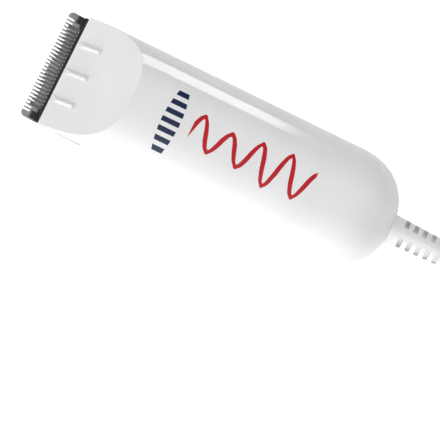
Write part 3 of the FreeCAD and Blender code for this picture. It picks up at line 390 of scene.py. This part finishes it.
# ---------------------------------------------------------------- the drive, the motor and the board
# Behind the blades a nylon fork rides on the cutter and takes the swing of the motor's eccentric. A brushed
# direct-current motor, a rectifier board and a slide switch are set into the lower shell.
nylon = plastic("natural_nylon", (0.72, 0.69, 0.60, 1), (0.66, 0.63, 0.54, 1), 0.35, 0.5, depth=0.08)
ferrite = plastic("magnet_ferrite", (0.030, 0.030, 0.032, 1), (0.055, 0.052, 0.050, 1), 0.55, 0.75,
                  depth=0.3, grain=3500.0)
carbon = plastic("pressed_carbon", (0.018, 0.018, 0.018, 1), (0.035, 0.034, 0.033, 1), 0.45, 0.7,
                 depth=0.3, grain=5000.0)
laminate = plastic("board_laminate", (0.022, 0.115, 0.042, 1), (0.035, 0.15, 0.055, 1), 0.25, 0.4,
                   depth=0.1, grain=1800.0)
sleeve = plastic("capacitor_sleeve", (0.016, 0.020, 0.070, 1), (0.024, 0.030, 0.095, 1), 0.2, 0.35)
insulation = plastic("wire_insulation", (0.015, 0.025, 0.22, 1), (0.02, 0.035, 0.28, 1), 0.35, 0.5)
bronze = metal("bearing_bronze", (0.42, 0.26, 0.12, 1), (0.30, 0.18, 0.085, 1), 0.4, 0.6,
               scale=(900.0, 900.0, 900.0))
copper = metal("enamelled_copper", (0.55, 0.19, 0.07, 1), (0.36, 0.11, 0.04, 1), 0.2, 0.35,
               scale=(5200.0, 90.0, 90.0), depth=0.6)
dress(nylon, "drive_fork")
dress(ferrite, "motor_magnets")
dress(carbon, "motor_brushes")
dress(laminate, "circuit_board")
dress(sleeve, "smoothing_capacitor", "rectifier_diodes")
dress(insulation, "lead_wires")
dress(bronze, "motor_front_bearing", "motor_rear_bearing")
dress(copper, "armature_windings", "commutator", "choke_coil")
dress(white_abs, "switch_stem")
dress(black_moulding, "switch_button")

# ---------------------------------------------------------------- the cord's rubber and the strain relief
# Soft white PVC with a satin skin. The strain relief is moulded round the cord, with four rows of windows
# between its ribs so that it bends evenly.
white_rubber = plastic("white_pvc", (0.80, 0.80, 0.79, 1), (0.75, 0.75, 0.735, 1), 0.34, 0.5,
                       depth=0.1, grain=1600.0)
dress(white_rubber, "cord_boot")
line.materials.append(white_rubber)

# ---------------------------------------------------------------- the hank's tie
# A 7 mm hook-and-loop strap in black nylon, pulled flat round the middle of the hank.
TIE_FROM = 0.1714
TIE_WIDTH = 0.007
TIE_THICKNESS = 0.001
TIE_HALF = 0.023
TIE_TOP = 0.0205
TIE_CORNER = 0.0036


def skin_mesh(name, rings, closed_along, smooth=True):
    """A mesh over a grid of rings: point (i, j) joins (i + 1, j + 1) round each ring, and along the rings too
    if they close on each other. Otherwise the first and last rings are capped by one face each."""
    count, around = rings.shape[:2]
    i, j = np.meshgrid(np.arange(count if closed_along else count - 1), np.arange(around), indexing="ij")
    ahead, beside = (i + 1) % count, (j + 1) % around
    quads = [i * around + j, ahead * around + j, ahead * around + beside, i * around + beside]
    faces = np.stack(quads, -1).reshape(-1, 4).tolist()
    if not closed_along:
        faces.append(list(range(around)))
        faces.append(list(range(count * around - 1, (count - 1) * around - 1, -1)))
    mesh = bpy.data.meshes.new(name)
    mesh.from_pydata(rings.reshape(-1, 3).tolist(), [], faces)
    mesh.polygons.foreach_set("use_smooth", [smooth] * len(faces))
    mesh.update()
    made = bpy.data.objects.new(name, mesh)
    bpy.context.scene.collection.objects.link(made)
    return made


def strap_rings():
    """The strap's skin. Its midline is a rounded rectangle in the plane of Y and Z,
    (p + c * cos a, q + c * sin a) with p and q the corner's centre in that quarter and c its radius, and
    its section is a superellipse (half width * cos ** (1/4), half thickness * sin ** (2/3)) across X and
    outwards."""
    angle = np.linspace(0, 2 * np.pi, 96, endpoint=False)
    corner = TIE_CORNER - TIE_THICKNESS / 2
    side = np.sign(np.cos(angle)) * (TIE_HALF - TIE_CORNER)
    lift = TIE_TOP / 2 + np.sign(np.sin(angle)) * (TIE_TOP / 2 - TIE_CORNER)
    out = np.stack([np.zeros_like(angle), np.cos(angle), np.sin(angle)], 1)
    middle = np.stack([np.full_like(angle, TIE_FROM + TIE_WIDTH / 2), side, lift], 1) + corner * out
    turn = np.linspace(0, 2 * np.pi, 28, endpoint=False)
    wide = np.sign(np.cos(turn)) * np.abs(np.cos(turn)) ** 0.25 * TIE_WIDTH / 2
    thick = np.sign(np.sin(turn)) * np.abs(np.sin(turn)) ** 0.67 * TIE_THICKNESS / 2
    aside = np.array([1, 0, 0]) * wide[None, :, None]
    return middle[:, None] + out[:, None] * thick[None, :, None] + aside


def webbing(name):
    """Black nylon loop pile: a noise fine enough to read as pile, over a weave of two crossed waves."""
    dark, grey = (0.010, 0.010, 0.011, 1), (0.030, 0.030, 0.032, 1)
    material, tree, surface = plastic_nodes(name, dark, grey, 0.75, 0.95, depth=0.5, grain=4200.0)[:3]
    place = put(tree, "TexCoord").outputs["Object"]
    warp = put(tree, "TexWave", in_Vector=place, in_Scale=900.0, in_Distortion=1.5, bands_direction="X")
    pile = put(tree, "TexNoise", in_Vector=place, in_Scale=3200.0, in_Detail=3.0)
    height = sums(tree, "MULTIPLY", warp.outputs["Fac"], pile.outputs["Fac"])
    bump = put(tree, "Bump", in_Height=height, in_Strength=0.7, in_Distance=0.00012,
               in_Normal=surface.inputs["Normal"].links[0].from_socket)
    tree.links.new(bump.outputs[0], surface.inputs["Normal"])
    shade = blended(tree, height, (0.008, 0.008, 0.009, 1), (0.05, 0.05, 0.053, 1))
    tree.links.new(shade, surface.inputs["Base Color"])
    return material


strap = skin_mesh("hank_tie", strap_rings(), True)
strap.data.materials.append(webbing("tie_webbing"))
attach(strap, "clipper")
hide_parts("cord_tie")

# ---------------------------------------------------------------- the mains plug
# A flat two-pin plug moulded onto the cord in the same white PVC, ribbed where the fingers pull it.
# Its two flat brass blades are nickel plated.
PLUG_REAR = 0.1694
PLUG_MIDDLE = (0.0145, 0.0255)
PLUG_STRAIGHT = 28.0
PLUG_NOSE = 2.0
PLUG_HALF = (10.5, 5.5)
PLUG_TAIL_HALF = 3.5
PLUG_POWER = 2.8
RIBS_FROM = 2.0
RIBS_TO = 12.5
RIB_PITCH = 2.1
RIB_DEPTH = 0.45


def plug_rings():
    """The plug's skin in millimetres along s: superellipses of power PLUG_POWER across X. Half width and
    half height ease from the cord's size to the body's with 3t^2 - 2t^3, dip by a cosine at each of five
    ribs, and draw in by a quarter circle over the nose."""
    nose_arc = PLUG_STRAIGHT + PLUG_NOSE * np.sin(np.linspace(0.1, np.pi / 2, 9))
    s = np.concatenate([np.linspace(0, 0.5, 4), np.linspace(0.7, PLUG_STRAIGHT - 0.2, 110), nose_arc])
    ease = lambda t: np.clip(t, 0, 1) ** 2 * (3 - 2 * np.clip(t, 0, 1))
    wide = PLUG_TAIL_HALF + (PLUG_HALF[0] - PLUG_TAIL_HALF) * ease(s / 15.0)
    high = PLUG_TAIL_HALF + (PLUG_HALF[1] - PLUG_TAIL_HALF) * ease(s / 11.0)
    dip = 0.5 - 0.5 * np.cos(2 * np.pi * (s - RIBS_FROM) / RIB_PITCH)
    rib = RIB_DEPTH * dip * ((s > RIBS_FROM) & (s < RIBS_TO))
    past = np.clip(s - PLUG_STRAIGHT, 0, PLUG_NOSE)
    nose = PLUG_NOSE - np.sqrt(PLUG_NOSE ** 2 - past ** 2)
    tail = 0.6 * np.clip(1 - s / 0.5, 0, 1) ** 2
    wide = (wide - rib - nose - tail)[:, None]
    high = (high - rib * 0.8 - nose - tail)[:, None]
    angle = np.linspace(0, 2 * np.pi, 72, endpoint=False)
    c, q = np.cos(angle)[None], np.sin(angle)[None]
    reach = (np.abs(c / wide) ** PLUG_POWER + np.abs(q / high) ** PLUG_POWER) ** (-1 / PLUG_POWER)
    x = np.broadcast_to(PLUG_REAR - s[:, None] / 1000, reach.shape)
    return np.stack([x, PLUG_MIDDLE[0] + reach * c / 1000, PLUG_MIDDLE[1] + reach * q / 1000], -1)


plug = skin_mesh("mains_plug", plug_rings()[::-1], False)
plug.data.materials.append(white_rubber)
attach(plug, "clipper")
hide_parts("plug_body")
nickel = metal("nickel_plate", (0.66, 0.63, 0.55, 1), (0.56, 0.53, 0.45, 1), 0.18, 0.3,
               scale=(60.0, 900.0, 900.0))
dress(nickel, "plug_blades")

# ---------------------------------------------------------------- the bench and the light
# A pale matt bench top, lit through as a product table is, so that nothing throws a hard shadow. It is a
# sheet with one face, clear from below.
# A wide soft tent brightens towards the clipper's right side, and a strip draws the line along its left.
floor_mesh = bpy.data.meshes.new("bench_top")
reach, level = 1.5, -0.0002
corners = [(x * reach, y * reach, level) for x, y in ((-1, -1), (1, -1), (1, 1), (-1, 1))]
floor_mesh.from_pydata(corners, [], [(0, 1, 2, 3)])
floor = bpy.data.objects.new("bench_top", floor_mesh)
bpy.context.scene.collection.objects.link(floor)
paper = bpy.data.materials.new("bench_paper")
paper.use_nodes = True
surface = paper.node_tree.nodes["Principled BSDF"]
surface.inputs["Base Color"].default_value = (0.9, 0.9, 0.9, 1)
surface.inputs["Roughness"].default_value = 0.9
surface.inputs["Emission Color"].default_value = (1, 1, 1, 1)
seen = put(paper.node_tree, "LightPath").outputs["Is Camera Ray"]
through = put(paper.node_tree, "MapRange", in_Value=seen, in_To_Min=0.15, in_To_Max=0.62).outputs[0]
paper.node_tree.links.new(through, surface.inputs["Emission Strength"])
under = put(paper.node_tree, "NewGeometry").outputs["Backfacing"]
clear = put(paper.node_tree, "BsdfTransparent").outputs[0]
sheet = put(paper.node_tree, "MixShader", in_0=under, in_1=surface.outputs[0], in_2=clear).outputs[0]
paper.node_tree.links.new(sheet, paper.node_tree.nodes["Material Output"].inputs["Surface"])
floor_mesh.materials.append(paper)


def lamp(name, place, aim, width, height, radiance):
    """A rectangular soft box at place, facing aim: its -Z axis lies along aim - place. Its power is its
    area times pi times its radiance."""
    light = bpy.data.lights.new(name, "AREA")
    light.shape = "RECTANGLE"
    light.size = width
    light.size_y = height
    light.energy = radiance * width * height * math.pi
    box = bpy.data.objects.new(name, light)
    bpy.context.scene.collection.objects.link(box)
    box.location = place
    box.rotation_euler = (Vector(aim) - Vector(place)).to_track_quat("-Z", "Y").to_euler()
    return box


lamp("side_strip", (-0.022, 0.45, 0.26), (-0.022, 0, 0.02), 0.085, 0.25, 7.0)
world = bpy.data.worlds.new("studio")
world.use_nodes = True
tent = world.node_tree
brightest = Vector((-0.2, -1.0, 0.2)).normalized()
direction = put(tent, "TexCoord").outputs["Generated"]
toward = put(tent, "VectorMath", operation="DOT_PRODUCT", in_0=direction, in_1=brightest).outputs["Value"]
glow = put(tent, "MapRange", interpolation_type="SMOOTHSTEP", in_Value=toward,
           in_From_Min=-0.31, in_From_Max=1.0, in_To_Min=0.2, in_To_Max=2.0).outputs[0]
fill = put(tent, "MapRange", interpolation_type="SMOOTHSTEP", in_Value=toward,
           in_From_Min=-0.4, in_From_Max=-1.0, in_To_Min=0.0, in_To_Max=0.5).outputs[0]
tent.links.new(sums(tent, "ADD", glow, fill), tent.nodes["Background"].inputs["Strength"])
tent.nodes["Background"].inputs["Color"].default_value = (1, 1, 1, 1)
bpy.context.scene.world = world
bpy.context.scene.view_settings.view_transform = "Standard"
